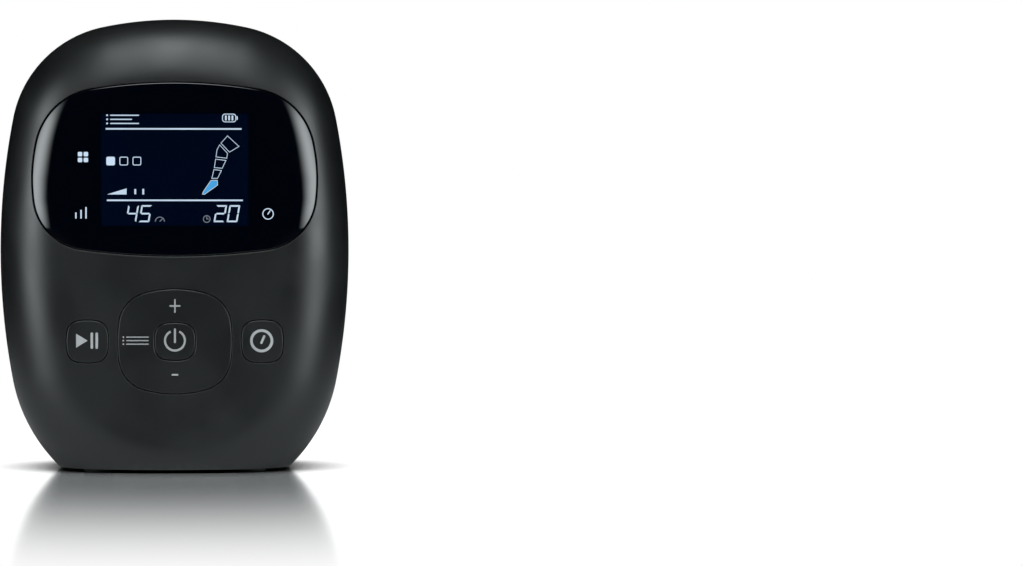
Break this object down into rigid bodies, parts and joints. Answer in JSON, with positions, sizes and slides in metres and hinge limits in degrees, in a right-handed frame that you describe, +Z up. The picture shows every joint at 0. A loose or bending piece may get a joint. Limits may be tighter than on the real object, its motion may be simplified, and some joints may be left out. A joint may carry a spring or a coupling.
{
  "type": "compression therapy pump",
  "caption": "Egg-shaped table-top air pump for compression therapy boots, with a wrapped display window, rocking pad, keys, diaphragm pump and valves.",
  "frame": {"origin": "on the table, under the middle of the bounding box", "axes": "+Z up, -Y out of the display, +X to the right of someone who looks at the display"},
  "size_m": [0.1502, 0.0994, 0.1942],
  "materials": {
    "housing": "satin moulded",
    "window": "polished, tinted nearly black",
    "tape": "foam tape",
    "keys": "satin moulded",
    "rubber": "matt",
    "silicone": "translucent grey",
    "screw_steel": "zinc plated",
    "inner_plastic": "moulded",
    "chassis": "moulded",
    "board": "solder mask",
    "display": "glass laminate",
    "chips": "moulded",
    "cells": "sleeved",
    "contacts": "plated",
    "motor_steel": "plated",
    "bronze": "sintered",
    "magnet": "ferrite",
    "copper": "laminations and windings",
    "coils": "moulded coils in a steel frame",
    "socket": "moulded"
  },
  "bodies": {
    "housing": {"front_cover": "housing", "rear_cover": "housing", "window": "window", "window_tape": "tape", "rubber_feet": "rubber", "case_screws": "screw_steel", "key_frame": "inner_plastic", "keypad_mat": "silicone", "control_board": "board", "board_screws": "screw_steel", "display_frame": "inner_plastic", "display_panel": "display", "board_parts": "chips", "buzzer": "chips", "pressure_sensor": "inner_plastic", "chassis_plate": "chassis", "battery_cells": "cells", "battery_holder": "inner_plastic", "battery_contacts": "contacts", "crankcase": "inner_plastic", "motor_case": "motor_steel", "motor_end_cap": "inner_plastic", "motor_bearings": "bronze", "motor_magnets": "magnet", "pump_head": "inner_plastic", "pump_head_screws": "screw_steel", "intake_filter": "chips", "pump_mounts": "rubber", "valve_manifold": "inner_plastic", "valve_coils": "coils", "chassis_screws": "screw_steel", "supply_hose": "silicone", "sensor_hose": "silicone", "outlet_hoses": "silicone", "outlet_socket": "socket", "socket_screws": "screw_steel", "dc_jack": "socket", "dc_jack_pin": "contacts"},
    "play_pause": {"play_pause_button": "keys", "play_pause_dome": "silicone"},
    "timer": {"timer_button": "keys", "timer_dome": "silicone"},
    "power": {"power_button": "keys", "power_dome": "silicone"},
    "gimbal": {"gimbal_ring": "inner_plastic"},
    "pad": {"four_way_pad": "keys", "pad_domes": "silicone"},
    "crank": {"crankshaft": "motor_steel", "motor_rotor": "copper"},
    "piston": {"connecting_rod": "inner_plastic", "piston_cap": "motor_steel", "diaphragm": "rubber"},
    "valve_1": {"valve_plunger_1": "motor_steel", "valve_spring_1": "screw_steel"},
    "valve_2": {"valve_plunger_2": "motor_steel", "valve_spring_2": "screw_steel"},
    "valve_3": {"valve_plunger_3": "motor_steel", "valve_spring_3": "screw_steel"},
    "valve_4": {"valve_plunger_4": "motor_steel", "valve_spring_4": "screw_steel"}
  },
  "joints": [
    {"name": "play_pause_press", "type": "slide", "parent": "housing", "child": "play_pause", "axis": [0, 0.9976, -0.0698], "range_m": [0, 0.0008], "stiffness_N_per_m": 3000},
    {"name": "timer_press", "type": "slide", "parent": "housing", "child": "timer", "axis": [0, 0.9976, -0.0698], "range_m": [0, 0.0008], "stiffness_N_per_m": 3000},
    {"name": "power_press", "type": "slide", "parent": "housing", "child": "power", "axis": [0, 0.9976, -0.0698], "range_m": [0, 0.0008], "stiffness_N_per_m": 3000},
    {"name": "pad_side_tilt", "type": "hinge", "parent": "housing", "child": "gimbal", "pos_m": [0, -0.04168, 0.05603], "axis": [0, 0.0698, 0.9976], "range_deg": [-1.8, 1.8], "stiffness_Nm_per_rad": 1.2},
    {"name": "pad_up_tilt", "type": "hinge", "parent": "gimbal", "child": "pad", "pos_m": [0, -0.04168, 0.05603], "axis": [1, 0, 0], "range_deg": [-1.8, 1.8], "stiffness_Nm_per_rad": 1.2},
    {"name": "crank_spin", "type": "hinge", "parent": "housing", "child": "crank", "pos_m": [0, 0.0247, 0.034], "axis": [1, 0, 0], "continuous": true},
    {"name": "piston_stroke", "type": "slide", "parent": "housing", "child": "piston", "axis": [0, 0, 1], "range_m": [-0.001, 0.001], "stiffness_N_per_m": 1500, "deforming": ["diaphragm"]},
    {"name": "valve_1_lift", "type": "slide", "parent": "housing", "child": "valve_1", "axis": [0, 0, 1], "range_m": [0, 0.001], "stiffness_N_per_m": 300, "springref_m": -0.002, "deforming": ["valve_spring_1"]},
    {"name": "valve_2_lift", "type": "slide", "parent": "housing", "child": "valve_2", "axis": [0, 0, 1], "range_m": [0, 0.001], "stiffness_N_per_m": 300, "springref_m": -0.002, "deforming": ["valve_spring_2"]},
    {"name": "valve_3_lift", "type": "slide", "parent": "housing", "child": "valve_3", "axis": [0, 0, 1], "range_m": [0, 0.001], "stiffness_N_per_m": 300, "springref_m": -0.002, "deforming": ["valve_spring_3"]},
    {"name": "valve_4_lift", "type": "slide", "parent": "housing", "child": "valve_4", "axis": [0, 0, 1], "range_m": [0, 0.001], "stiffness_N_per_m": 300, "springref_m": -0.002, "deforming": ["valve_spring_4"]}
  ]
}
